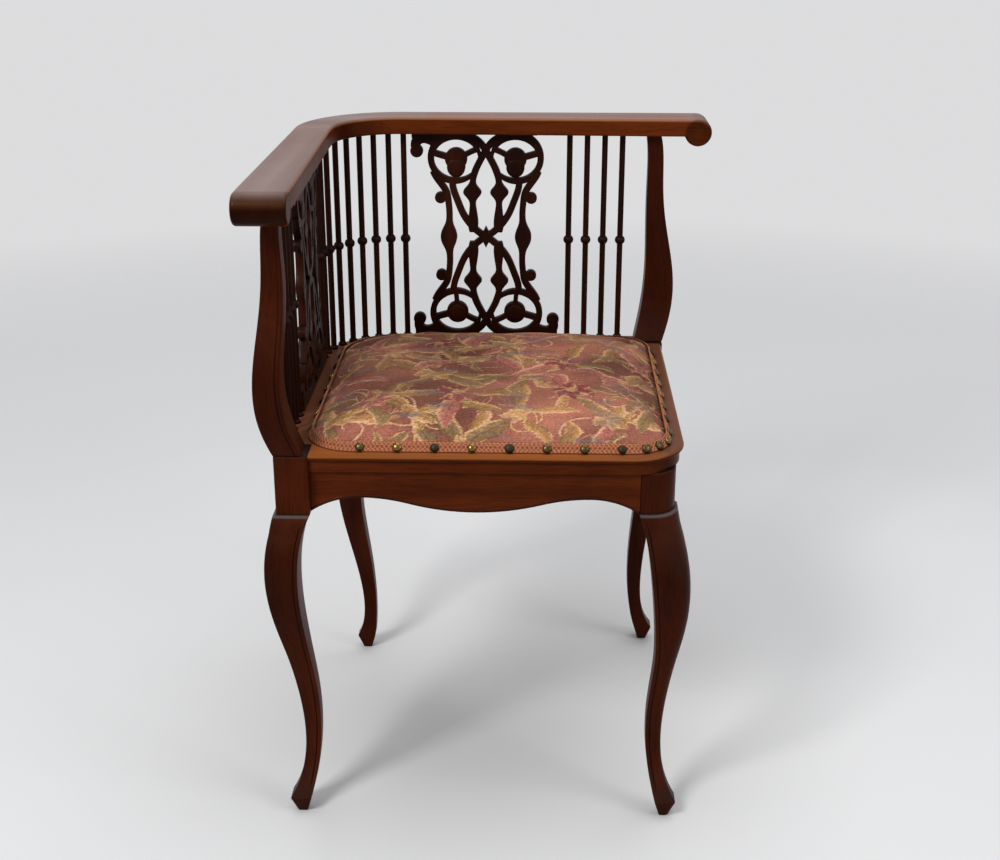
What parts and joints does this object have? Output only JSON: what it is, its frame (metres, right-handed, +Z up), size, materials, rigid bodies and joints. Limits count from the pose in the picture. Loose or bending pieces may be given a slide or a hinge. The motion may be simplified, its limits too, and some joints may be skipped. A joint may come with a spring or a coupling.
{
  "type": "corner chair",
  "caption": "Corner chair with cabriole legs, a stuffed square seat, and a low scrolled rail on posts, turned spindles and pierced splats round two sides.",
  "frame": {"origin": "on the floor, under the middle of the chair's bounding box", "axes": "+Z up; the seat is square to X and Y; the open front corner is towards +X and -Y, the rounded back corner towards -X and +Y"},
  "size_m": [0.5024, 0.5024, 0.725],
  "materials": {
    "mahogany": "polished",
    "beech": "plain",
    "seat_cover": "woven floral",
    "gimp_braid": "woven braid",
    "hessian": "coarse weave",
    "webbing": "herringbone weave",
    "nail_brass": "aged",
    "screw_steel": "dull"
  },
  "bodies": {
    "root": {"leg_front_left": "mahogany", "leg_back_right": "mahogany", "leg_front_right": "mahogany", "leg_back_left": "mahogany", "arm_post_left": "mahogany", "arm_post_right": "mahogany", "arm_rail_left": "mahogany", "arm_rail_back": "mahogany", "arm_rail_corner": "mahogany", "splat_back": "mahogany", "splat_left": "mahogany", "seat_frame_left": "mahogany", "seat_frame_back": "mahogany", "seat_frame_corner": "mahogany", "seat_frame_front": "mahogany", "seat_frame_right": "mahogany", "apron_front": "mahogany", "apron_right": "mahogany", "apron_left": "mahogany", "apron_back": "mahogany", "spindle_left_1": "mahogany", "spindle_left_2": "mahogany", "spindle_left_3": "mahogany", "spindle_left_4": "mahogany", "spindle_back_1": "mahogany", "spindle_back_2": "mahogany", "spindle_back_3": "mahogany", "spindle_back_4": "mahogany", "spindle_corner_1": "mahogany", "spindle_corner_2": "mahogany", "spindle_corner_3": "mahogany", "spindle_corner_4": "mahogany", "spindle_corner_5": "mahogany", "spindle_corner_6": "mahogany", "spindle_corner_7": "mahogany", "spindle_corner_8": "mahogany", "spindle_corner_9": "mahogany", "corner_block_front_left": "beech", "corner_block_back_right": "beech", "corner_block_front_right": "beech", "corner_block_back_left": "beech", "rail_dowels": "beech", "seat_frame_dowels": "beech", "back_leg_dowels": "beech", "corner_block_screws": "screw_steel", "seat_nails": "nail_brass", "seat_pad": "seat_cover", "seat_gimp": "gimp_braid", "seat_hessian": "hessian", "seat_webbing_across": "webbing", "seat_webbing_along": "webbing"}
  },
  "joints": []
}
